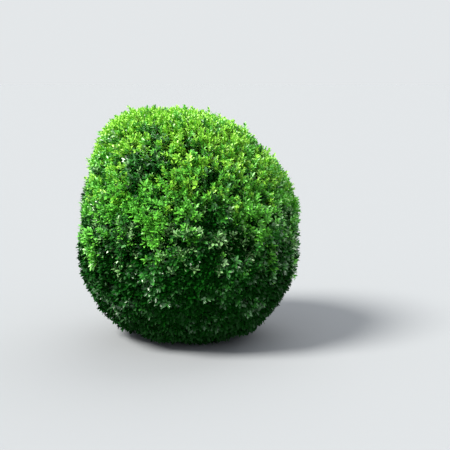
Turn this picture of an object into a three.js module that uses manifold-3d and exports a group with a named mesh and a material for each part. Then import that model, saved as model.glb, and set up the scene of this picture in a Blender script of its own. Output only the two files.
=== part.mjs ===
// A clipped box ball: one rooted evergreen shrub, sheared to a full rounded block that narrows at its foot.
// Millimetres, +Z up. The origin is the middle of the flat cut under the trunk, at ground level.
// +X runs to the right and +Y away from the side that the outline is drawn from.

import * as THREE from 'three';
import { mergeVertices } from 'three/addons/utils/BufferGeometryUtils.js';
import Module from 'manifold-3d';

const wasm = await Module();
wasm.setup();

// The clipped outline. Its heart is the point on the trunk's axis at the height of the greatest spread.
const crown = {
  width: 644, // greatest spread, left to right
  depth: 628, // greatest spread, front to back
  height: 674, // the level at which the top is sheared
  crest: 696, // how high the sides would round over without it
  edge: 16, // how sharply the level top meets them
  heartHeight: 300,
  drop: 328, // how far the lower half would reach below the heart, if the ground didn't end it
  topSquareness: 2.05, // 2 is round, and more is squarer
  footSquareness: 2.08,
  topLean: -70, // the top stands this far to one side of the heart
  footFill: 0.07, // the core and the twigs stand this much further out near the ground, as a share of the reach
  footHeight: 8, // the lowest leaves stop this far above the ground
};

// Swellings of the clipped surface: waves over the direction from the heart, as shares of the reach
const billows = [
  { x: 4.1, y: 2.3, z: 1.2, shift: 0.7, share: 0.013 },
  { x: -2.6, y: 4.8, z: 2.9, shift: 2.2, share: 0.013 },
  { x: 9.4, y: -5.2, z: 8.7, shift: 1.1, share: 0.009 },
  { x: 7.1, y: 11.3, z: -6.2, shift: 4.0, share: 0.009 },
  { x: -13.2, y: 6.4, z: 12.5, shift: 5.3, share: 0.006 },
];

const trunk = {
  height: 92,
  footRadius: 31,
  waistRadius: 20,
  tipRadius: 16,
  flareHeight: 22, // the root flare dies away over this height
  lean: 7,
  ribs: 5,
  ribShare: 0.1,
  steps: 9,
  sides: 20,
};

const bough = {
  count: 7,
  firstTurn: 0.04, // turns about the trunk
  turn: 3 / 7,
  lowFork: 36,
  highFork: 80,
  lowEnd: 150,
  highEnd: 425,
  socket: 16, // the end lies this deep in the foliage's inner wall
  lowBend: { out: 0.42, rise: 0.1 }, // shares of the way out and up
  highBend: { out: 0.72, rise: 0.55 },
  footRadius: 8.5,
  tipRadius: 4.5,
  steps: 9,
  sides: 8,
};

// The bare space inside the foliage, round the boughs: a bell that opens at the ground
const bell = {
  mouthRadius: 92,
  waistRadius: 178,
  waistHeight: 285,
  top: 500,
  below: -20,
  sides: 22,
  arcSteps: 6,
};

// The dense inner foliage, which the leafy twigs stand out of. Its depths are shares of the crown's reach.
const core = { depth: 0.83, roughness: 0.075, detail: 5, underside: 16 };

// The foliage's own stem, from the trunk's tip to the top of the bell
const leader = {
  footRadius: 9,
  tipRadius: 5.5,
  sunk: 14, // it and its branches run this far into the wall
  sway: -12,
  lowBend: 120,
  highBend: 160,
  branches: 5,
  branchRadius: 4.6,
  branchTaper: 0.7,
  lowest: 0.3, // shares of the way up
  highest: 0.85,
  rise: 62,
  clearance: 26, // a branch that would pass a bough closer than this is left out
};

const twig = {
  count: 92,
  crowding: 1.15,
  footRadius: 4,
  tipRadius: 2.8,
  rootDepth: 0.765, // shares of the crown's reach
  tipDepth: 0.88,
  upturn: 0.35,
  lowPair: 0.62, // share of its length
  strayEvery: 9, // every ninth has grown out past the shears
  strayShare: 0.045,
};

const sideShoot = { every: 4, from: 0.35, length: 34, radius: 2.8, angle: 1.05 };

const leaf = {
  length: 60,
  width: 38,
  thickness: 3,
  broadest: 0.12, // how far past the middle it is broadest
  lowSpread: 1.25, // angles to the stem
  tipSpread: 0.9,
  sunk: 0.7, // its root lies this far past the stem's axis
  belowTip: 1.3, // the last pair springs from the stem this far below its tip
  overreach: 1.01, // a leaf's tip may stand out this far
};

const gap = 0.3; // between pieces that meet
const goldenAngle = Math.PI * (3 - Math.sqrt(5));
const up = new THREE.Vector3(0, 0, 1);
const heart = new THREE.Vector3(0, 0, crown.heartHeight);

// Even, repeatable scatter between 0 and 1 for the index-th piece
const scatter = (index) => (0.5 + index * 0.754877) % 1;

const materials = {
  bark: new THREE.MeshStandardMaterial({ color: 0x6f5d49, roughness: 0.9, metalness: 0 }),
  foliage: new THREE.MeshStandardMaterial({ color: 0x4f9a2c, roughness: 0.5, metalness: 0 }),
};

function billowAt(direction) {
  let swell = 1;
  for (const wave of billows) {
    const phase = wave.x * direction.x + wave.y * direction.y + wave.z * direction.z + wave.shift;
    swell += wave.share * Math.sin(phase);
  }
  return swell;
}

// From the heart to the clipped outline, before the ball leans over
function reachAt(direction) {
  const above = direction.z > 0;
  const squareness = above ? crown.topSquareness : crown.footSquareness;
  const across = Math.hypot(direction.x / (crown.width / 2), direction.y / (crown.depth / 2));
  const rise = Math.abs(direction.z) / (above ? crown.crest - crown.heartHeight : crown.drop);
  const ball = billowAt(direction) / (across ** squareness + rise ** squareness) ** (1 / squareness);
  if (!above) return ball;
  const level = (crown.height - crown.heartHeight) / direction.z;
  return (ball ** -crown.edge + level ** -crown.edge) ** (-1 / crown.edge);
}

function leanAt(height) {
  const rise = Math.max(0, height - crown.heartHeight) / (crown.height - crown.heartHeight);
  return crown.topLean * rise ** 2;
}

function footFillAt(direction) {
  return crown.footFill * THREE.MathUtils.smoothstep(-direction.z, 0.5, 0.85);
}

// The point at a share of the way from the heart to the outline
function crownPoint(direction, share) {
  const point = direction.clone().multiplyScalar(reachAt(direction) * share).add(heart);
  point.x += leanAt(point.z);
  return point;
}

// The other way round: a point's share of the reach, which is over 1 outside the outline
function crownShare(point) {
  const offset = point.clone().sub(heart);
  offset.x -= leanAt(point.z);
  const distance = offset.length();
  return distance / reachAt(offset.normalize());
}

// Directions round the heart on a golden spiral, from the top down, and a little closer together there
function spiralDirection(index, count) {
  const z = 1 - 2 * ((index + 0.5) / count) ** twig.crowding;
  const flat = Math.sqrt(1 - z * z);
  const turn = index * goldenAngle;
  return new THREE.Vector3(flat * Math.cos(turn), flat * Math.sin(turn), z);
}

function solidFrom(geometry) {
  const bare = geometry.clone();
  bare.deleteAttribute('normal');
  bare.deleteAttribute('uv');
  const merged = mergeVertices(bare, 1e-4);
  return new wasm.Manifold(new wasm.Mesh({
    numProp: 3,
    vertProperties: new Float32Array(merged.attributes.position.array),
    triVerts: new Uint32Array(merged.index.array),
  }));
}

function geometryFrom(solid) {
  const mesh = solid.getMesh();
  return new THREE.BufferGeometry()
    .setAttribute('position', new THREE.BufferAttribute(mesh.vertProperties, 3))
    .setIndex(new THREE.BufferAttribute(mesh.triVerts, 1));
}

// A limb: rings of points round a curve, with a flat face across each end
function limbGeometry(curve, radiusAt, steps, sides) {
  const frames = curve.computeFrenetFrames(steps, false);
  const positions = [];
  const faces = [];
  for (let step = 0; step <= steps; step++) {
    const centre = curve.getPointAt(step / steps);
    for (let side = 0; side < sides; side++) {
      const angle = (2 * Math.PI * side) / sides;
      const radius = radiusAt(step / steps, angle);
      const point = centre.clone()
        .addScaledVector(frames.normals[step], radius * Math.cos(angle))
        .addScaledVector(frames.binormals[step], radius * Math.sin(angle));
      positions.push(point.x, point.y, point.z);
    }
  }
  for (let step = 0; step < steps; step++) {
    for (let side = 0; side < sides; side++) {
      const near = step * sides + side;
      const next = step * sides + ((side + 1) % sides);
      faces.push(near, next, next + sides, near, next + sides, near + sides);
    }
  }
  const last = steps * sides;
  for (let side = 1; side < sides - 1; side++) {
    faces.push(0, side + 1, side);
    faces.push(last, last + side, last + side + 1);
  }
  return new THREE.BufferGeometry()
    .setAttribute('position', new THREE.Float32BufferAttribute(positions, 3))
    .setIndex(faces);
}

const taper = (from, to) => (along) => THREE.MathUtils.lerp(from, to, along);

// A straight three-sided stem
function stem(from, to, footRadius, tipRadius) {
  return solidFrom(limbGeometry(new THREE.LineCurve3(from, to), taper(footRadius, tipRadius), 1, 3));
}

const trunkCurve = new THREE.CubicBezierCurve3(
  new THREE.Vector3(0, 0, 0),
  new THREE.Vector3(0, 0, trunk.height * 0.4),
  new THREE.Vector3(trunk.lean, 0, trunk.height * 0.6),
  new THREE.Vector3(trunk.lean, 0, trunk.height),
);

// The trunk swells to a ribbed root flare at the ground. extra widens it all round.
function trunkGeometry(extra) {
  const radiusAt = (along, angle) => {
    const flare = Math.exp((-along * trunk.height) / trunk.flareHeight);
    const stemRadius = THREE.MathUtils.lerp(trunk.waistRadius, trunk.tipRadius, along);
    const ribbed = 1 + trunk.ribShare * flare * Math.cos(trunk.ribs * angle);
    return (stemRadius + (trunk.footRadius - trunk.waistRadius) * flare) * ribbed + extra;
  };
  return limbGeometry(trunkCurve, radiusAt, trunk.steps, trunk.sides);
}

function bellRadius(height) {
  if (height < bell.waistHeight) {
    return THREE.MathUtils.mapLinear(height, 0, bell.waistHeight, bell.mouthRadius, bell.waistRadius);
  }
  const share = (height - bell.waistHeight) / (bell.top - bell.waistHeight);
  return bell.waistRadius * Math.sqrt(Math.max(0, 1 - share * share));
}

function bellSolid() {
  const profile = [
    new THREE.Vector2(0, bell.below),
    new THREE.Vector2(bellRadius(bell.below), bell.below),
    new THREE.Vector2(bell.waistRadius, bell.waistHeight),
  ];
  for (let step = 1; step <= bell.arcSteps; step++) {
    const angle = (Math.PI / 2) * (step / bell.arcSteps);
    const radius = step === bell.arcSteps ? 0 : bell.waistRadius * Math.cos(angle);
    const height = bell.waistHeight + (bell.top - bell.waistHeight) * Math.sin(angle);
    profile.push(new THREE.Vector2(radius, height));
  }
  return solidFrom(new THREE.LatheGeometry(profile, bell.sides).rotateX(Math.PI / 2));
}

// Each bough leaves the trunk a little above the last one, bends upwards, and ends inside the bell's wall
function boughCurve(index) {
  const share = index / (bough.count - 1);
  const turn = 2 * Math.PI * (bough.firstTurn + index * bough.turn);
  const outward = new THREE.Vector3(Math.cos(turn), Math.sin(turn), 0);
  const fork = THREE.MathUtils.lerp(bough.lowFork, bough.highFork, share);
  const endHeight = THREE.MathUtils.lerp(bough.lowEnd, bough.highEnd, share);
  const endRadius = bellRadius(endHeight) + bough.socket;
  const start = trunkCurve.getPoint(fork / trunk.height);
  const at = ({ out, rise }) => outward.clone()
    .multiplyScalar(endRadius * out)
    .setZ(THREE.MathUtils.lerp(fork, endHeight, rise))
    .add(new THREE.Vector3(start.x * (1 - out), 0, 0));
  return new THREE.CubicBezierCurve3(start, at(bough.lowBend), at(bough.highBend), at({ out: 1, rise: 1 }));
}

function boughGeometry(index, extra) {
  const radiusAt = taper(bough.footRadius + extra, bough.tipRadius + extra);
  return limbGeometry(boughCurve(index), radiusAt, bough.steps, bough.sides);
}

// A rough shell round the bell, cut level above the ground
function coreSolid() {
  const sphere = new THREE.IcosahedronGeometry(1, core.detail);
  const shell = mergeVertices(sphere.deleteAttribute('normal').deleteAttribute('uv'), 1e-4);
  const place = shell.attributes.position;
  for (let index = 0; index < place.count; index++) {
    const direction = new THREE.Vector3().fromBufferAttribute(place, index).normalize();
    const depth = core.depth + footFillAt(direction);
    const point = crownPoint(direction, depth + core.roughness * (scatter(index) - 0.5));
    place.setXYZ(index, point.x, point.y, point.z);
  }
  const ground = new THREE.BoxGeometry(2 * crown.width, 2 * crown.depth, crown.drop);
  ground.translate(0, 0, core.underside - crown.drop / 2);
  return solidFrom(shell).subtract(solidFrom(ground)).subtract(bellSolid());
}

// A leaf is a thin lozenge with eight faces. It points along one direction and faces another.
function leafSolid(root, along, facing) {
  const shape = new THREE.OctahedronGeometry(1, 0);
  const place = shape.attributes.position;
  for (let index = 0; index < place.count; index++) {
    const broad = 1 - Math.abs(place.getX(index));
    place.setX(index, place.getX(index) + 1 + leaf.broadest * broad);
  }
  shape.scale(leaf.length / 2, leaf.width / 2, leaf.thickness / 2);
  const across = new THREE.Vector3().crossVectors(facing, along).normalize();
  const upper = new THREE.Vector3().crossVectors(along, across);
  shape.applyMatrix4(new THREE.Matrix4().makeBasis(along, across, upper));
  const start = root.clone().addScaledVector(along, -leaf.sunk);
  shape.translate(start.x, start.y, start.z);
  return solidFrom(shape);
}

// Any direction square to a stem, turned round it by an angle
function squareTo(direction, turn) {
  const helper = Math.abs(direction.z) < 0.9 ? up : new THREE.Vector3(1, 0, 0);
  return new THREE.Vector3().crossVectors(direction, helper).normalize().applyAxisAngle(direction, turn);
}

function fits(point, mostShare) {
  return point.z > crown.footHeight && crownShare(point) < mostShare;
}

// The direction that is an angle away from a stem's own, towards one side
function branchingOff(direction, side, angle) {
  const ahead = direction.clone().multiplyScalar(Math.cos(angle));
  return ahead.addScaledVector(side, Math.sin(angle)).normalize();
}

// Two leaves on opposite sides of a stem. A leaf that would leave the crown is skipped.
function leafPair(root, direction, turn, spread, mostShare) {
  const pair = [];
  const side = squareTo(direction, turn);
  for (const angle of [spread, -spread]) {
    const along = branchingOff(direction, side, angle);
    const tip = root.clone().addScaledVector(along, leaf.length);
    if (fits(tip, mostShare)) pair.push(leafSolid(root, along, direction));
  }
  return pair;
}

// A twig grows out of the core at its own place on the spiral. It carries pairs of leaves, and may fork.
function growTwig(index) {
  const direction = spiralDirection(index, twig.count);
  const stray = index % twig.strayEvery === 0 ? twig.strayShare : 0;
  const root = crownPoint(direction, twig.rootDepth + footFillAt(direction));
  const tip = crownPoint(direction, twig.tipDepth + footFillAt(direction) / 2 + stray);
  tip.addScaledVector(up, root.distanceTo(tip) * twig.upturn * (1 - Math.abs(direction.z)));
  const inBell = Math.hypot(root.x, root.y) < bellRadius(root.z) + 2 * twig.footRadius;
  if (inBell || root.z < core.underside + 2 * twig.footRadius || !fits(tip, 1)) return [];

  const growing = tip.clone().sub(root).normalize();
  const turn = Math.PI * scatter(index);
  const mostShare = leaf.overreach + stray;
  const lowJoint = root.clone().lerp(tip, twig.lowPair);
  const tipJoint = tip.clone().addScaledVector(growing, -leaf.belowTip);
  const pieces = [
    stem(root, tip, twig.footRadius, twig.tipRadius),
    ...leafPair(lowJoint, growing, turn, leaf.lowSpread, mostShare),
    ...leafPair(tipJoint, growing, turn + Math.PI / 2, leaf.tipSpread, mostShare),
  ];

  if (index % sideShoot.every) return pieces;
  const fork = root.clone().lerp(tip, sideShoot.from);
  const shooting = branchingOff(growing, squareTo(growing, turn + Math.PI / 4), sideShoot.angle);
  const shootTip = fork.clone().addScaledVector(shooting, sideShoot.length);
  if (!fits(shootTip, 1)) return pieces;
  const shootJoint = shootTip.clone().addScaledVector(shooting, -leaf.belowTip);
  pieces.push(stem(fork, shootTip, sideShoot.radius, sideShoot.radius));
  pieces.push(...leafPair(shootJoint, shooting, turn, leaf.tipSpread, mostShare));
  return pieces;
}

function clearOfBoughs(from, to) {
  const branchLine = new THREE.Line3(from, to);
  for (let index = 0; index < bough.count; index++) {
    for (const place of boughCurve(index).getPoints(24)) {
      const nearest = branchLine.closestPointToPoint(place, true, new THREE.Vector3());
      if (nearest.distanceTo(place) < leader.clearance) return false;
    }
  }
  return true;
}

// The leader stands clear of the trunk's tip. Its branches cross the bell to the core.
function leaderPieces() {
  const foot = new THREE.Vector3(trunk.lean, 0, trunk.height + gap);
  const curve = new THREE.CubicBezierCurve3(
    foot,
    foot.clone().setZ(foot.z + leader.lowBend),
    new THREE.Vector3(leader.sway, 0, bell.top - leader.highBend),
    new THREE.Vector3(0, 0, bell.top + leader.sunk),
  );
  const pieces = [solidFrom(limbGeometry(curve, taper(leader.footRadius, leader.tipRadius), 5, 6))];
  for (let index = 0; index < leader.branches; index++) {
    const along = THREE.MathUtils.lerp(leader.lowest, leader.highest, index / (leader.branches - 1));
    const turn = index * goldenAngle;
    const from = curve.getPoint(along);
    const endHeight = Math.min(from.z + leader.rise, bell.top - leader.sunk);
    const endRadius = bellRadius(endHeight) + leader.sunk;
    const to = new THREE.Vector3(endRadius * Math.cos(turn), endRadius * Math.sin(turn), endHeight);
    if (!clearOfBoughs(from.clone().lerp(to, 0.4), to)) continue;
    pieces.push(stem(from, to, leader.branchRadius, leader.branchRadius * leader.branchTaper));
  }
  return pieces;
}

function foliageGeometry() {
  const pieces = [coreSolid(), ...leaderPieces()];
  for (let index = 0; index < twig.count; index++) pieces.push(...growTwig(index));
  let foliage = wasm.Manifold.union(pieces);
  for (let index = 0; index < bough.count; index++) {
    foliage = foliage.subtract(solidFrom(boughGeometry(index, gap)));
  }
  return geometryFrom(foliage);
}

function cutBoughGeometry(index) {
  return geometryFrom(solidFrom(boughGeometry(index, 0)).subtract(solidFrom(trunkGeometry(gap))));
}

function namedMesh(name, geometry, material) {
  const mesh = new THREE.Mesh(geometry, material);
  mesh.name = name;
  return mesh;
}

const shrub = new THREE.Group();
shrub.add(namedMesh('trunk', trunkGeometry(0), materials.bark));
for (let index = 0; index < bough.count; index++) {
  shrub.add(namedMesh(`bough_${index + 1}`, cutBoughGeometry(index), materials.bark));
}
shrub.add(namedMesh('foliage', foliageGeometry(), materials.foliage));

export default shrub;
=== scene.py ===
# A clipped box ball. The trunk and boughs get their bark, and the foliage grows on from them:
# branches, twigs, bunches, then leafy shoots that end at the sheared outline.
# Metres, +Z up, origin on the ground under the trunk, seen from -Y.

import math

import bpy
import numpy as np
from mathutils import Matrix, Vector, noise


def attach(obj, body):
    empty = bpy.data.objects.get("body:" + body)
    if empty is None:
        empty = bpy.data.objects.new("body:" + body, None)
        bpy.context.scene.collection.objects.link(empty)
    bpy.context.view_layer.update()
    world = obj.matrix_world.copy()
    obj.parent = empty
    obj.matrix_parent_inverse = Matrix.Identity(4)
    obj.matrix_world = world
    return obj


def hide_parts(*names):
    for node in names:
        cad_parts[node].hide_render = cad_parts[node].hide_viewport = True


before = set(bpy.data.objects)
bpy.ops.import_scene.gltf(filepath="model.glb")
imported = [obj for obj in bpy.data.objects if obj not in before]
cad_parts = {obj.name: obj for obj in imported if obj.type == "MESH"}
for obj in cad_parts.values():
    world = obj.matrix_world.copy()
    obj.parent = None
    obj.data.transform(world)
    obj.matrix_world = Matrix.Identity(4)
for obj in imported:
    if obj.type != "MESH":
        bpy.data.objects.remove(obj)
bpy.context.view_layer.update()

camera = {
    "lens": 72.0,
    "sensor": 36.0,
    "aim": (0.103, 0.0, 0.327),
    "distance": 2.65,
    "elevation": 9.0,  # degrees
}

cameraData = bpy.data.cameras.new("gardenCamera")
cameraData.lens = camera["lens"]
cameraData.sensor_width = camera["sensor"]
cameraObject = bpy.data.objects.new("gardenCamera", cameraData)
tilt = math.radians(camera["elevation"])
aim = Vector(camera["aim"])
cameraObject.location = aim + camera["distance"] * Vector((0, -math.cos(tilt), math.sin(tilt)))
cameraObject.rotation_euler = (aim - cameraObject.location).to_track_quat("-Z", "Y").to_euler()
bpy.context.scene.collection.objects.link(cameraObject)
bpy.context.scene.camera = cameraObject
print("camera set")

rng = np.random.default_rng(61)
goldenAngle = math.pi * (3 - math.sqrt(5))
up = np.array((0.0, 0.0, 1.0))


def unit(vectors):
    return vectors / np.linalg.norm(vectors, axis=-1, keepdims=True)


def mix(start, end, share):
    return start + (end - start) * share


def smooth(low, high, value):
    share = np.clip((value - low) / (high - low), 0, 1)
    return share * share * (3 - 2 * share)


# The sheared outline, as the solid has it. Its heart is on the trunk's axis, where the ball is widest.
crown = {
    "width": 0.644,
    "depth": 0.628,
    "height": 0.674,  # the level at which the top is sheared
    "crest": 0.696,  # how high the sides would round over without it
    "edge": 16,  # how sharply the top meets the sides
    "heartHeight": 0.300,
    "drop": 0.328,  # how far the lower half would reach below the heart
    "topSquareness": 2.05,  # 2 is round, and more is squarer
    "footSquareness": 2.08,
    "topLean": -0.070,
    "crowding": 1.15,  # over 1, growth stands closer together at the top
    "billows": [  # waves over the direction from the heart: x, y, z, shift, share of the reach
        (4.1, 2.3, 1.2, 0.7, 0.013),
        (-2.6, 4.8, 2.9, 2.2, 0.013),
        (9.4, -5.2, 8.7, 1.1, 0.009),
        (7.1, 11.3, -6.2, 4.0, 0.009),
        (-13.2, 6.4, 12.5, 5.3, 0.006),
    ],
}


def reachAt(direction):
    swell = np.ones(len(direction))
    for x, y, z, shift, share in crown["billows"]:
        swell += share * np.sin(direction @ np.array((x, y, z)) + shift)
    above = direction[:, 2] > 0
    squareness = np.where(above, crown["topSquareness"], crown["footSquareness"])
    across = np.hypot(direction[:, 0] / (crown["width"] / 2), direction[:, 1] / (crown["depth"] / 2))
    span = np.where(above, crown["crest"] - crown["heartHeight"], crown["drop"])
    rise = np.abs(direction[:, 2]) / span
    ball = swell / (across ** squareness + rise ** squareness) ** (1 / squareness)
    climb = np.maximum(direction[:, 2], 1e-3)  # never quite level, so that the division holds
    level = (crown["height"] - crown["heartHeight"]) / climb
    return (ball ** -crown["edge"] + level ** -crown["edge"]) ** (-1 / crown["edge"])


def leanAt(height):
    rise = np.maximum(0, height - crown["heartHeight"]) / (crown["height"] - crown["heartHeight"])
    return crown["topLean"] * rise ** 2


def crownPoint(direction, share):
    point = direction * (reachAt(direction) * share)[:, None]
    point[:, 2] += crown["heartHeight"]
    point[:, 0] += leanAt(point[:, 2])
    return point


def crownShare(point):  # over 1 outside the outline
    offset = point - np.array((0, 0, crown["heartHeight"]))
    offset[:, 0] -= leanAt(point[:, 2])
    distance = np.linalg.norm(offset, axis=1)
    return distance / reachAt(offset / distance[:, None])


def spiralDirections(count):  # from the top down
    index = np.arange(count)
    z = 1 - 2 * ((index + 0.5) / count) ** crown["crowding"]
    flat = np.sqrt(1 - z * z)
    turn = index * goldenAngle
    return np.stack([flat * np.cos(turn), flat * np.sin(turn), z], axis=1)


def plainMaterial(name, colour, roughness, specular, ior=1.5):
    material = bpy.data.materials.new(name)
    material.use_nodes = True
    shader = material.node_tree.nodes["Principled BSDF"]
    shader.inputs["Base Color"].default_value = (*colour, 1)
    shader.inputs["Roughness"].default_value = roughness
    shader.inputs["Specular IOR Level"].default_value = specular
    shader.inputs["IOR"].default_value = ior
    return material


def makePiece(name, points, faces, material, nodes):
    mesh = bpy.data.meshes.new(name)
    mesh.vertices.add(len(points))
    mesh.vertices.foreach_set("co", np.asarray(points, dtype=np.float32).ravel())
    size = faces.shape[1]
    mesh.loops.add(faces.size)
    mesh.loops.foreach_set("vertex_index", faces.astype(np.int32).ravel())
    mesh.polygons.add(len(faces))
    mesh.polygons.foreach_set("loop_start", np.arange(0, faces.size, size, dtype=np.int32))
    mesh.polygons.foreach_set("use_smooth", np.ones(len(faces), dtype=bool))
    mesh.update(calc_edges=True)
    mesh.validate()
    mesh.materials.append(material)
    piece = bpy.data.objects.new(name, mesh)
    bpy.context.scene.collection.objects.link(piece)
    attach(piece, "root")
    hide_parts(*nodes)


# Bark: fissured plates, drawn out along the limb
bark = {
    "plateSize": 0.0075,
    "plateLength": 2.6,  # times its width
    "crackWidth": 0.24,  # share of a plate
    "lumpSize": 0.022,
    "lumpShare": 0.5,
    "level": 0.8,  # the relief that lies on the limb's own radius
    "light": (0.335, 0.270, 0.195),
    "dark": (0.085, 0.062, 0.042),
    "darkUpTo": 0.34,
    "lightFrom": 0.66,
    "grain": (130, 130, 45),  # speckles to a metre, drawn out along z
    "grainDetail": 6.0,
    "roughness": 0.88,
}


def barkRelief(places):  # 0 in a crack, 1 on a plate
    relief = np.empty(len(places))
    for index, place in enumerate(places):
        point = Vector(place) / bark["plateSize"]
        point.z /= bark["plateLength"]
        distances = noise.voronoi(point)[0]
        plate = min(1.0, (distances[1] - distances[0]) / bark["crackWidth"])
        relief[index] = plate + bark["lumpShare"] * noise.noise(Vector(place) / bark["lumpSize"])
    return relief


def barkMaterial():
    material = bpy.data.materials.new("greyBrownBark")
    material.use_nodes = True
    nodes, links = material.node_tree.nodes, material.node_tree.links
    shader = nodes["Principled BSDF"]
    shader.inputs["Roughness"].default_value = bark["roughness"]
    place = nodes.new("ShaderNodeTexCoord")
    stretch = nodes.new("ShaderNodeMapping")
    stretch.inputs["Scale"].default_value = bark["grain"]
    speckle = nodes.new("ShaderNodeTexNoise")
    speckle.inputs["Scale"].default_value = 1.0  # the mapping sets the size
    speckle.inputs["Detail"].default_value = bark["grainDetail"]
    ramp = nodes.new("ShaderNodeValToRGB")
    ramp.color_ramp.elements[0].position = bark["darkUpTo"]
    ramp.color_ramp.elements[0].color = (*bark["dark"], 1)
    ramp.color_ramp.elements[1].position = bark["lightFrom"]
    ramp.color_ramp.elements[1].color = (*bark["light"], 1)
    links.new(place.outputs["Object"], stretch.inputs["Vector"])
    links.new(stretch.outputs["Vector"], speckle.inputs["Vector"])
    links.new(speckle.outputs["Fac"], ramp.inputs["Fac"])
    links.new(ramp.outputs["Color"], shader.inputs["Base Color"])
    return material


barkLook = barkMaterial()


def bezier(corners, along):
    a, b, c, d = (np.asarray(corner, dtype=float) for corner in corners)
    t = np.atleast_1d(along)[:, None]
    return a * (1 - t) ** 3 + 3 * b * t * (1 - t) ** 2 + 3 * c * t * t * (1 - t) + d * t ** 3


def sideAngles(sides):
    return np.arange(sides) * 2 * math.pi / sides


def ringWays(first, second, angle):
    return first[:, None] * np.cos(angle)[None, :, None] + second[:, None] * np.sin(angle)[None, :, None]


def limbFaces(rings, sides):
    ring, side = np.meshgrid(np.arange(rings - 1), np.arange(sides), indexing="ij")
    near = ring * sides + side
    following = ring * sides + (side + 1) % sides
    return np.stack([near, following, following + sides, near + sides], axis=-1).reshape(-1, 4)


# A limb with its bark, from rings of points that close to a point at the far end
def barkLimb(name, path, first, radiusAt, depth, sides, node):
    rings = len(path)
    tangent = unit(np.gradient(path, axis=0))
    second = unit(np.cross(tangent, first))
    angle = sideAngles(sides)
    radius = np.array([[radiusAt(share, turn) for turn in angle] for share in np.linspace(0, 1, rings)])
    ways = ringWays(first, second, angle)
    smoothPoints = path[:, None] + ways * radius[..., None]
    relief = barkRelief(smoothPoints.reshape(-1, 3)).reshape(radius.shape)
    points = path[:, None] + ways * (radius + depth * (relief - bark["level"]))[..., None]
    points[-1] = path[-1]
    makePiece(name, points.reshape(-1, 3), limbFaces(rings, sides), barkLook, [node])


trunk = {
    "height": 0.092,
    "footRadius": 0.031,
    "waistRadius": 0.020,
    "tipRadius": 0.016,
    "flareHeight": 0.022,
    "lean": 0.007,
    "lowBend": 0.4,  # shares of its height
    "highBend": 0.6,
    "ribs": 5,
    "ribShare": 0.1,
    "barkDepth": 0.0016,
    "rings": 72,
    "sides": 96,
}

trunkCorners = [
    (0, 0, 0),
    (0, 0, trunk["lowBend"] * trunk["height"]),
    (trunk["lean"], 0, trunk["highBend"] * trunk["height"]),
    (trunk["lean"], 0, trunk["height"]),
]


def trunkRadius(along, angle):
    flare = math.exp(-along * trunk["height"] / trunk["flareHeight"])
    stem = mix(trunk["waistRadius"], trunk["tipRadius"], along)
    ribbed = 1 + trunk["ribShare"] * flare * math.cos(trunk["ribs"] * angle)
    return (stem + (trunk["footRadius"] - trunk["waistRadius"]) * flare) * ribbed


trunkPath = bezier(trunkCorners, np.linspace(0, 1, trunk["rings"]))
towardsViewer = np.tile((0.0, -1.0, 0.0), (trunk["rings"], 1))
barkLimb("trunkBark", trunkPath, towardsViewer, trunkRadius, trunk["barkDepth"], trunk["sides"], "trunk")

# The bare space in the middle of the ball, which the boughs cross
bell = {
    "mouthRadius": 0.092,
    "waistRadius": 0.178,
    "waistHeight": 0.285,
    "top": 0.500,
}


def bellRadius(height):
    if height < bell["waistHeight"]:
        return mix(bell["mouthRadius"], bell["waistRadius"], height / bell["waistHeight"])
    share = (height - bell["waistHeight"]) / (bell["top"] - bell["waistHeight"])
    return bell["waistRadius"] * math.sqrt(max(0, 1 - share * share))


bough = {
    "count": 7,
    "firstTurn": 0.04,
    "turn": 3 / 7,
    "lowFork": 0.036,
    "highFork": 0.080,
    "lowEnd": 0.150,
    "highEnd": 0.425,
    "socket": 0.016,
    "lowBend": (0.42, 0.1),  # shares of the way out and up
    "highBend": (0.72, 0.55),
    "footRadius": 0.0085,
    "tipRadius": 0.0045,
    "barkDepth": 0.0009,
    "rings": 90,
    "sides": 36,
}


def boughCorners(index):
    share = index / (bough["count"] - 1)
    turn = 2 * math.pi * (bough["firstTurn"] + index * bough["turn"])
    fork = mix(bough["lowFork"], bough["highFork"], share)
    endHeight = mix(bough["lowEnd"], bough["highEnd"], share)
    endRadius = bellRadius(endHeight) + bough["socket"]
    start = bezier(trunkCorners, fork / trunk["height"])[0]
    corners = [start]
    for out, rise in (bough["lowBend"], bough["highBend"], (1, 1)):
        corners.append((
            endRadius * out * math.cos(turn) + start[0] * (1 - out),
            endRadius * out * math.sin(turn),
            mix(fork, endHeight, rise),
        ))
    return corners


def boughRadius(along, angle):  # round, so the same at every angle
    return mix(bough["footRadius"], bough["tipRadius"], along)


boughPaths = []
for number in range(bough["count"]):
    path = bezier(boughCorners(number), np.linspace(0, 1, bough["rings"]))
    sideways = np.tile(unit(np.cross(path[-1] - path[0], up)), (bough["rings"], 1))
    barkLimb(f"boughBark_{number + 1}", path, sideways, boughRadius, bough["barkDepth"],
             bough["sides"], f"bough_{number + 1}")
    boughPaths.append(path)
print("bark on the trunk and", bough["count"], "boughs")


# Two directions square to each way
def crossWays(ways):
    steep = 0.9  # over this a way is too near to upright to be crossed with up
    helper = np.where(np.abs(ways[:, 2:3]) < steep, up, np.array((1.0, 0, 0)))
    first = unit(np.cross(ways, helper))
    return first, np.cross(ways, first)


# Many thin stems at once: paths is stems x rings x 3, radii is stems x rings
def stemMesh(paths, radii, sides):
    stems, rings = radii.shape
    first, second = crossWays(unit(paths[:, -1] - paths[:, 0]))
    ways = ringWays(first, second, sideAngles(sides))
    points = paths[:, :, None] + ways[:, None] * radii[:, :, None, None]
    faces = limbFaces(rings, sides)
    faces = faces[None] + (np.arange(stems) * rings * sides)[:, None, None]
    return points.reshape(-1, 3), faces.reshape(-1, 4)


def taperedRadii(paths, startRadius, endRadius):
    return np.tile(np.linspace(startRadius, endRadius, paths.shape[1]), (len(paths), 1))


def nearestTo(points, parents):
    return np.array([np.argmin(((parents - point) ** 2).sum(axis=1)) for point in points])


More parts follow.
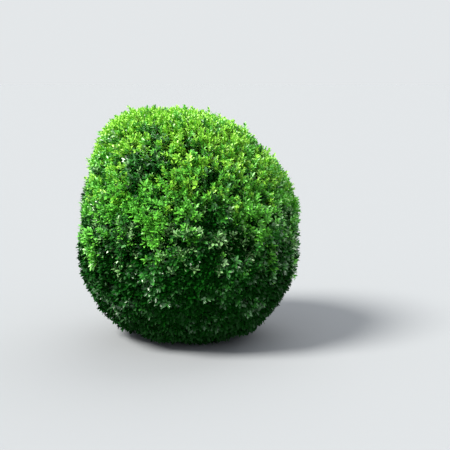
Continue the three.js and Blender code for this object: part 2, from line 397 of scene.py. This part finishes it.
# A curved path from each start to each end, which leaves in the way that its parent grows
def curvedPaths(starts, ends, startWays, rings, bend):
    length = np.linalg.norm(ends - starts, axis=1)[:, None]
    corner = starts + startWays * length * bend
    t = np.linspace(0, 1, rings)[None, :, None]
    return starts[:, None] * (1 - t) ** 2 + 2 * corner[:, None] * t * (1 - t) + ends[:, None] * t * t


# The leader goes on from the trunk to the top of the bare space, with a few branches of its own
leader = {
    "footRadius": 0.009,
    "tipRadius": 0.0055,
    "footDepth": 0.002,  # below the trunk's tip
    "sunk": 0.014,
    "sway": -0.012,
    "lowBend": 0.120,
    "highBend": 0.160,
    "rings": 24,
    "branches": 5,
    "branchRadius": 0.0046,
    "branchTaper": 0.7,
    "branchRings": 8,
    "lowest": 0.3,  # shares of the leader's length, where branches fork
    "highest": 0.85,
    "rise": 0.062,
    "clearance": 0.026,
    "clearFrom": 0.4,  # share of a branch's length
    "clearSteps": 12,
}

leaderFoot = np.array((trunk["lean"], 0, trunk["height"] - leader["footDepth"]))
leaderCorners = [
    leaderFoot,
    leaderFoot + up * leader["lowBend"],
    (leader["sway"], 0, bell["top"] - leader["highBend"]),
    (0, 0, bell["top"] + leader["sunk"]),
]
leaderPath = bezier(leaderCorners, np.linspace(0, 1, leader["rings"]))


def clearOfBoughs(start, end):
    for share in np.linspace(leader["clearFrom"], 1, leader["clearSteps"]):
        place = mix(start, end, share)
        if min(np.linalg.norm(path - place, axis=1).min() for path in boughPaths) < leader["clearance"]:
            return False
    return True


leaderBranches = []
for number in range(leader["branches"]):
    along = mix(leader["lowest"], leader["highest"], number / (leader["branches"] - 1))
    start = bezier(leaderCorners, along)[0]
    endHeight = min(start[2] + leader["rise"], bell["top"] - leader["sunk"])
    endRadius = bellRadius(endHeight) + leader["sunk"]
    turn = number * goldenAngle
    end = np.array((endRadius * math.cos(turn), endRadius * math.sin(turn), endHeight))
    if clearOfBoughs(start, end):
        leaderBranches.append(mix(start, end, np.linspace(0, 1, leader["branchRings"])[:, None]))

# Twigs stand all round, a little way inside the outline
twig = {
    "count": 92,
    "rootDepth": 0.765,  # shares of the reach
    "tipDepth": 0.88,
    "lowest": 0.04,
    "upturn": 0.35,
    "rootRadius": 0.0027,
    "tipRadius": 0.0018,
    "rings": 3,
    "bend": 0.5,
    "sides": 5,
    "colour": (0.060, 0.055, 0.028),
    "roughness": 0.85,
    "specular": 0.15,
}

twigWays = spiralDirections(twig["count"])
twigRoots = crownPoint(twigWays, np.full(twig["count"], twig["rootDepth"]))
twigTips = crownPoint(twigWays, np.full(twig["count"], twig["tipDepth"]))
twigSpan = np.linalg.norm(twigTips - twigRoots, axis=1)
twigTips[:, 2] += twigSpan * twig["upturn"] * (1 - np.abs(twigWays[:, 2]))
kept = twigRoots[:, 2] > twig["lowest"]
twigRoots, twigTips = twigRoots[kept], twigTips[kept]
twigGrowing = unit(twigTips - twigRoots)
twigPaths = curvedPaths(twigRoots, twigTips, twigGrowing, twig["rings"], twig["bend"])

# Branches carry the twigs. Each starts at the nearest end that has grown already.
branch = {
    "radius": 0.0034,
    "rings": 6,
    "bend": 0.4,
    "detour": 0.35,  # how much a long way back to the trunk counts against a start
    "outward": 0.5,  # how far its end turns into the twig's own way
}

limbs = boughPaths + leaderBranches
ends = [path[-1] for path in limbs] + [leaderPath[-1]]
endWays = [unit(path[-1] - path[-3]) for path in limbs] + [up]
endTrails = [0.0] * len(ends)
waiting = list(range(len(twigRoots)))
branchStarts, branchEnds, branchWays = [], [], []
while waiting:
    gaps = np.linalg.norm(twigRoots[waiting][:, None] - np.array(ends)[None], axis=2)
    cost = gaps + branch["detour"] * np.array(endTrails)[None]
    row, column = np.unravel_index(np.argmin(cost), cost.shape)
    site = waiting.pop(row)
    branchStarts.append(ends[column])
    branchEnds.append(twigRoots[site])
    branchWays.append(endWays[column])
    straightOn = unit(twigRoots[site] - ends[column])
    ends.append(twigRoots[site])
    endWays.append(unit(mix(straightOn, twigGrowing[site], branch["outward"])))
    endTrails.append(endTrails[column] + gaps[row, column])

branchPaths = curvedPaths(np.array(branchStarts), np.array(branchEnds), np.array(branchWays),
                          branch["rings"], branch["bend"])
print("branches and twigs:", len(branchPaths), len(twigPaths))

# Bunches are the tufts that the shears leave. Some lie back in a hollow.
bunch = {
    "perTwig": 9,
    "scatter": 0.02,
    "depth": 0.885,
    "lowest": 0.012,
    "tuft": 0.018,  # how unevenly the bunches stand, as a share of the reach
    "middleTuft": 0.034,  # how much more so round the ball's middle
    "middle": (0.50, 0.20),  # its height and spread, as shares of the ball's height
    "rise": (-1, 0.5),  # most stand back
    "hollowSize": 3.8,
    "hollowShift": (1.1, -10.6, 0.6),
    "hollowLimits": (0.00, 0.36),
    "hollowDepth": 0.036,
    "evenTop": (0.76, 0.92),  # over this the hollows fade out
    "fork": (0.35, 1),  # where it leaves its twig
    "radius": 0.0014,
    "taper": 0.7,
    "rings": 4,
    "bend": 0.4,
}

bunchCount = twig["count"] * bunch["perTwig"]
bunchWays = spiralDirections(bunchCount)
bunchWays = unit(bunchWays + rng.normal(0, bunch["scatter"], bunchWays.shape))
hollowShift = Vector(bunch["hollowShift"])
hollow = np.array([noise.noise(Vector(way) * bunch["hollowSize"] + hollowShift) for way in bunchWays])
hollow = smooth(*bunch["hollowLimits"], hollow)
bunchRise = rng.uniform(*bunch["rise"], bunchCount)
bunchHeight = crownPoint(bunchWays, np.full(bunchCount, bunch["depth"]))[:, 2] / crown["height"]
hollow *= 1 - smooth(*bunch["evenTop"], bunchHeight)
middleness = np.exp(-((bunchHeight - bunch["middle"][0]) / bunch["middle"][1]) ** 2)
bunchSet = (bunch["tuft"] + bunch["middleTuft"] * middleness) * bunchRise - bunch["hollowDepth"] * hollow
bunchRoots = crownPoint(bunchWays, bunch["depth"] + bunchSet)
kept = bunchRoots[:, 2] > bunch["lowest"]
bunchWays, bunchRoots = bunchWays[kept], bunchRoots[kept]
bunchSet, bunchRise = bunchSet[kept], bunchRise[kept]
hollow, middleness = hollow[kept], middleness[kept]
bunchTwig = nearestTo(bunchRoots, twigTips)
forkShare = rng.uniform(*bunch["fork"], (len(bunchTwig), 1))
bunchForks = mix(twigRoots[bunchTwig], twigTips[bunchTwig], forkShare)
bunchPaths = curvedPaths(bunchForks, bunchRoots, twigGrowing[bunchTwig], bunch["rings"], bunch["bend"])

leaderPaths = leaderPath[None]
sidePaths = np.array(leaderBranches)
woodyStems = [
    (leaderPaths, taperedRadii(leaderPaths, leader["footRadius"], leader["tipRadius"])),
    (sidePaths, taperedRadii(sidePaths, 1, leader["branchTaper"]) * leader["branchRadius"]),
    (branchPaths, taperedRadii(branchPaths, branch["radius"], twig["rootRadius"])),
    (twigPaths, taperedRadii(twigPaths, twig["rootRadius"], twig["tipRadius"])),
    (bunchPaths, taperedRadii(bunchPaths, bunch["radius"], bunch["taper"] * bunch["radius"])),
]
points, faces, pointCount = [], [], 0
for paths, radii in woodyStems:
    morePoints, moreFaces = stemMesh(paths, radii, twig["sides"])
    points.append(morePoints)
    faces.append(moreFaces + pointCount)
    pointCount += len(morePoints)
twigLook = plainMaterial("twigBark", twig["colour"], twig["roughness"], twig["specular"])
makePiece("branchesAndTwigs", np.concatenate(points), np.concatenate(faces), twigLook,
          ["foliage"])
print("bunches:", len(bunchPaths))

# Shoots: short green stems with crossed pairs of leaves up to the sheared surface
shoot = {
    "perBunch": 13.5,
    "scatter": 0.012,
    "rootDepth": 0.900,
    "tipDepth": 0.990,
    "lowest": 0.012,
    "uneven": 0.015,
    "rise": (-1, 0.6),
    "upturn": 0.60,
    "sway": 0.34,  # how far the tips lean about
    "pairs": 5,
    "spacing": 0.0054,
    "strayShare": 0.034,
    "strayLength": (0.008, 0.021),
    "strayFrom": 0.3,  # strays only stand on the upper part
    "strayLift": 0.5,
    "stemStart": 0.7,  # share of the way back to the bunch
    "stemRadii": (1.3, 1.0, 0.5),  # times the radius, from root to tip
    "stemBend": 0.45,
    "stemSides": 3,
    "radius": 0.0007,
    "colour": (0.080, 0.200, 0.030),
    "roughness": 0.60,
    "specular": 0.25,
}

shootCount = int(bunchCount * shoot["perBunch"])
shootWays = spiralDirections(shootCount)
shootWays = unit(shootWays + rng.normal(0, shoot["scatter"], shootWays.shape))
shootBunch = nearestTo(crownPoint(shootWays, np.full(shootCount, bunch["depth"])), bunchRoots)
shootSet = bunchSet[shootBunch] + shoot["uneven"] * rng.uniform(*shoot["rise"], shootCount)
shootRoots = crownPoint(shootWays, shoot["rootDepth"] + shootSet)
shootTips = crownPoint(shootWays, shoot["tipDepth"] + shootSet)
shootSpan = np.linalg.norm(shootTips - shootRoots, axis=1)[:, None]
lean = up * shoot["upturn"] * (1 - np.abs(shootWays[:, 2:3]))
lean = lean + rng.normal(0, shoot["sway"], (shootCount, 3))
leaning = shootTips + lean * shootSpan
excess = crownShare(leaning) - (shoot["tipDepth"] + shootSet)
shootTips = leaning - shootWays * (excess * reachAt(shootWays))[:, None]

growing = unit(shootTips - shootRoots)
strays = (rng.uniform(0, 1, shootCount) < shoot["strayShare"]) & (shootWays[:, 2] > shoot["strayFrom"])
strayLength = rng.uniform(*shoot["strayLength"], shootCount) * strays
shootTips = shootTips + unit(growing + shoot["strayLift"] * up) * strayLength[:, None]

kept = shootTips[:, 2] > shoot["lowest"]
shootWays, shootBunch = shootWays[kept], shootBunch[kept]
shootRoots, shootTips = shootRoots[kept], shootTips[kept]
growing = unit(shootTips - shootRoots)
shootHeight = shootTips[:, 2] / crown["height"]

# The leaves' looks, from the newest growth to the oldest, and last the pale shoots' leaves. Lighter
# tints also stand for painted light and darker ones for painted shade, by how they are dealt out below;
# the pale shoots' colour is a painted highlight.
tints = {  # colour, roughness, specular, ior
    "limeLeaves": ((0.310, 0.670, 0.055), 0.45, 0.80, 1.50),
    "springLeaves": ((0.128, 0.500, 0.040), 0.42, 0.90, 1.55),
    "freshLeaves": ((0.026, 0.230, 0.015), 0.39, 1.00, 1.70),
    "deepLeaves": ((0.003, 0.080, 0.003), 0.40, 0.80, 1.50),
    "shadeLeaves": ((0.002, 0.049, 0.002), 0.44, 0.13, 1.50),
    "paintedGlintLeaves": ((0.205, 0.440, 0.140), 0.42, 1.00, 1.60),
}
tintNames = list(tints)

# Each shoot takes its tint by its age and by painted shade: lighter high on the ball and on bunches that
# stand out, darker low down, in the hollows and on bunches that stand back, where shade falls
ageAndShade = {
    "youngest": 0.05,
    "height": 0.82,  # the part that the place on the ball plays: high is young and lighter, low is old and darker, partly painted shade
    "highLimits": (0.32, 0.80),
    "bunch": 0.17,
    "shoot": 0.14,
    "unevenLimits": (-0.10, 0.45),  # below this, bunches and shoots differ less
    # in a hollow the tint is darker: older leaves and painted shade
    "hollow": 0.44,
    "proud": 0.58,  # a bunch that stands out round the middle is younger and lighter, painted light, and one that stands back is darker, painted shade
    "proudShift": 0.25,
    "limits": (0.26, 0.42, 0.60, 0.80),
    "limeFrom": (0.58, 0.88),  # lime leaves only stand high on the ball, where the light falls: partly painted light
}

bunchAgeAndShade = rng.normal(0, ageAndShade["bunch"], len(bunchRoots))
bunchAgeAndShade = bunchAgeAndShade - ageAndShade["proud"] * middleness * (bunchRise + ageAndShade["proudShift"])
highness = smooth(*ageAndShade["highLimits"], shootHeight)
unevenness = smooth(*ageAndShade["unevenLimits"], shootHeight)
shootAgeAndShade = ageAndShade["youngest"] + (1 - highness) * ageAndShade["height"] + ageAndShade["hollow"] * hollow[shootBunch]
shootAgeAndShade += unevenness * (bunchAgeAndShade[shootBunch] + rng.normal(0, ageAndShade["shoot"], len(shootTips)))
shootTint = np.searchsorted(ageAndShade["limits"], shootAgeAndShade)
shootTint = np.maximum(shootTint, shootHeight < rng.uniform(*ageAndShade["limeFrom"], len(shootTips)))

# Pale shoots stand out a little further, round the middle and in the hollows. Their pale colour is a
# painted highlight, sun caught on the outer leaves.
pale = {
    "share": 0.13,  # of the shoots, where they are most common
    "height": 0.53,
    "spread": 0.15,
    "hollow": 0.9,  # how common they are in a hollow, against that
    "fade": (0.28, 0.46),  # heights below which they fade out
    "proud": (0.002, 0.008),
    "outward": 0.4,
    "upward": 0.3,
    "size": 0.85,
}

paleGlintChance = np.exp(-((shootHeight - pale["height"]) / pale["spread"]) ** 2)
paleGlintChance = pale["share"] * np.maximum(paleGlintChance, pale["hollow"] * hollow[shootBunch])
paleGlintChance *= smooth(*pale["fade"], shootHeight)
isPaleGlint = rng.uniform(0, 1, len(shootTips)) < paleGlintChance
isPaleGlint &= shootTint >= tintNames.index("freshLeaves")
shootTint[isPaleGlint] = tintNames.index("paintedGlintLeaves")
shootTips[isPaleGlint] += shootWays[isPaleGlint] * rng.uniform(*pale["proud"], (isPaleGlint.sum(), 1))
growing[isPaleGlint] = unit(growing[isPaleGlint] + pale["outward"] * shootWays[isPaleGlint] + pale["upward"] * up)

stemStarts = mix(shootRoots, bunchRoots[shootBunch], shoot["stemStart"])
stemPaths = curvedPaths(stemStarts, shootTips, growing, len(shoot["stemRadii"]), shoot["stemBend"])
stemRadii = np.tile(np.array(shoot["stemRadii"]) * shoot["radius"], (len(stemPaths), 1))
stemPoints, stemFaces = stemMesh(stemPaths, stemRadii, shoot["stemSides"])
stemLook = plainMaterial("greenStem", shoot["colour"], shoot["roughness"], shoot["specular"])
makePiece("shootStems", stemPoints, stemFaces, stemLook, ["foliage"])
print("shoots:", len(shootTips), "of which pale:", isPaleGlint.sum())

leaf = {
    "length": 0.0150,
    "width": 0.0069,
    "lowSize": 1.62,  # sizes low and high on the ball
    "highSize": 1.05,
    "hollowSize": 0.35,  # how much larger they are in a hollow
    "tipSize": 0.60,  # size of the youngest pair
    "tipGap": 0.001,
    "grownPair": 3.5,  # pairs down from the tip to the first full-grown one
    "tipSpread": 0.50,  # angles to the stem
    "lowSpread": 1.10,
    "uneven": 0.15,
    "sizes": (0.82, 1.12),
    "widths": (0.88, 1.1),
    "erect": 0.26,  # how much less the leaves spread on the topmost shoots
    "facesUp": 0.50,
    "clearance": 0.001,  # over the ground
    "mostInPiece": 33000,
    "shape": [  # along, across, and up, each as a share
        (0.00, 0.00, 0.00),
        (0.30, 0.46, 0.05),
        (0.72, 0.40, 0.03),
        (1.00, 0.00, -0.08),
        (0.72, -0.40, 0.03),
        (0.30, -0.46, 0.05),
        (0.48, 0.00, -0.02),
    ],
    "faces": [(6, 1, 0), (6, 2, 1), (6, 3, 2), (6, 4, 3), (6, 5, 4), (6, 0, 5)],
}


def leafPoints(roots, ways, facing, lengths, widths):
    across = unit(np.cross(facing, ways))
    upper = np.cross(ways, across)
    shape = np.array(leaf["shape"])
    return (roots[:, None]
            + shape[None, :, 0:1] * (ways * lengths[:, None])[:, None]
            + shape[None, :, 1:2] * (across * widths[:, None])[:, None]
            + shape[None, :, 2:3] * (upper * lengths[:, None])[:, None])


# Crossed pairs of leaves down each shoot from its tip. It gives the points, leaf by leaf, and for each
# leaf the number of its shoot.
def leavesOn(tips, ways, pairs, size, erect):
    count = len(tips)
    first, second = crossWays(ways)
    firstTurn = rng.uniform(0, math.pi, count)
    everyPoint, everyShoot = [], []
    for pair in range(pairs):
        joint = tips - ways * (pair * shoot["spacing"] + leaf["tipGap"])
        turn = firstTurn + pair * math.pi / 2 + rng.normal(0, leaf["uneven"], count)
        side = first * np.cos(turn)[:, None] + second * np.sin(turn)[:, None]
        grown = min(1, (pair + 0.5) / leaf["grownPair"])
        for sign in (1, -1):
            spread = mix(leaf["tipSpread"], leaf["lowSpread"], grown) * (1 - leaf["erect"] * erect)
            spread += rng.normal(0, leaf["uneven"], count)
            along = unit(ways * np.cos(spread)[:, None] + sign * side * np.sin(spread)[:, None])
            facing = ways + leaf["facesUp"] * up + rng.normal(0, leaf["uneven"], (count, 3))
            scale = size * mix(leaf["tipSize"], 1, grown) * rng.uniform(*leaf["sizes"], count)
            lengths = leaf["length"] * scale
            widths = leaf["width"] * scale * rng.uniform(*leaf["widths"], count)
            everyPoint.append(leafPoints(joint, along, facing, lengths, widths))
            everyShoot.append(np.arange(count))
    return np.concatenate(everyPoint), np.concatenate(everyShoot)


# Older, broader leaves fill the depth behind the shoots. Their tint runs from the darkest at the foot to
# lime at the top: painted shade low down and painted light high up.
inner = {
    "perBunch": 4,
    "scatter": 0.06,
    "depth": (0.84, 0.92),
    "lowest": 0.02,
    "sway": 0.5,
    "pairs": 4,
    "size": 1.5,
    "highLimits": (0.30, 1.0),
    "lowTint": 4.2,  # the place among the tints at the foot, the darkest: painted shade
    "tintFall": 4.4,  # how far that falls towards the top, to lime: painted light
    "tintUneven": 0.4,
}

innerBunch = np.repeat(np.arange(len(bunchRoots)), inner["perBunch"])
innerWays = unit(bunchWays[innerBunch] + rng.normal(0, inner["scatter"], (len(innerBunch), 3)))
innerTips = crownPoint(innerWays, rng.uniform(*inner["depth"], len(innerBunch)) + bunchSet[innerBunch])
innerTips = innerTips[innerTips[:, 2] > inner["lowest"]]
innerGrowing = rng.normal(0, inner["sway"], innerTips.shape)
innerGrowing = unit(innerGrowing + unit(innerTips - np.array((0, 0, crown["heartHeight"]))))

outerSize = mix(leaf["lowSize"], leaf["highSize"], highness)
outerSize = outerSize * (1 + leaf["hollowSize"] * hollow[shootBunch])
outerSize = outerSize * np.where(isPaleGlint, pale["size"], 1)
outerErect = highness * (1 - hollow[shootBunch])
outerPoints, outerShoot = leavesOn(shootTips, growing, shoot["pairs"], outerSize, outerErect)
innerSize = np.full(len(innerTips), inner["size"])
innerPoints, innerShoot = leavesOn(innerTips, innerGrowing, inner["pairs"], innerSize, 0)
innerHighness = smooth(*inner["highLimits"], innerTips[:, 2] / crown["height"])
innerTint = inner["lowTint"] - inner["tintFall"] * innerHighness
innerTint = np.round(innerTint + rng.normal(0, inner["tintUneven"], len(innerTips)))
innerTint = np.clip(innerTint, 0, tintNames.index("shadeLeaves")).astype(int)

leafPlaces = np.concatenate([outerPoints, innerPoints])
leafTints = np.concatenate([shootTint[outerShoot], innerTint[innerShoot]])
kept = leafPlaces[:, :, 2].min(axis=1) > leaf["clearance"]
leafPlaces, leafTints = leafPlaces[kept], leafTints[kept]
for tintIndex, (tintName, look) in enumerate(tints.items()):
    leafLook = plainMaterial(tintName, *look)
    chosen = leafPlaces[leafTints == tintIndex]
    pieces = math.ceil(len(chosen) / leaf["mostInPiece"])
    for number, places in enumerate(np.array_split(chosen, pieces)):
        firstPoints = np.arange(len(places)) * len(leaf["shape"])
        leafFaces = np.array(leaf["faces"])[None] + firstPoints[:, None, None]
        makePiece(f"{tintName}_{number + 1}", places.reshape(-1, 3), leafFaces.reshape(-1, 3), leafLook,
                  ["foliage"])
    print(tintName, len(chosen), "leaves in", pieces, "pieces")

# A pale floor under an even sky, with a broad sun high up on the left and a soft light from behind
studio = {
    "floorColour": (0.278, 0.291, 0.315),  # as bright as the sky, so that no edge shows between them
    "floorRoughness": 1.0,
    "floorSpecular": 0.0,
    "floorSize": 600.0,
    "floorLevel": -0.0005,
    "sky": (0.90, 0.93, 0.95),
    "skyStrength": 0.86,
    "lights": {
        "highSun": {
            "way": (-0.88, -0.42, 1.10),
            "spread": 0.40,
            "strength": 6.8,
            "colour": (1.0, 0.97, 0.88),
        },
        "backLight": {
            "way": (0.40, 0.95, 0.95),
            "spread": 1.2,
            "strength": 1.8,
            "colour": (1.0, 0.98, 0.92),
        },
    },
}

bpy.ops.mesh.primitive_plane_add(size=studio["floorSize"], location=(0, 0, studio["floorLevel"]))
floor = bpy.context.object
floor.name = "floor"
floorLook = plainMaterial("paleFloor", studio["floorColour"], studio["floorRoughness"],
                          studio["floorSpecular"])
floor.data.materials.append(floorLook)

world = bpy.data.worlds.new("softSky")
bpy.context.scene.world = world
world.use_nodes = True
skyLight = world.node_tree.nodes["Background"]
skyLight.inputs["Color"].default_value = (*studio["sky"], 1)
skyLight.inputs["Strength"].default_value = studio["skyStrength"]

for lightName, light in studio["lights"].items():
    lightData = bpy.data.lights.new(lightName, "SUN")
    lightData.angle = light["spread"]
    lightData.energy = light["strength"]
    lightData.color = light["colour"]
    lightObject = bpy.data.objects.new(lightName, lightData)
    lightObject.rotation_euler = Vector(light["way"]).to_track_quat("Z", "Y").to_euler()
    bpy.context.scene.collection.objects.link(lightObject)
bpy.context.scene.view_settings.view_transform = "Standard"
print("floor, sky and lights set")
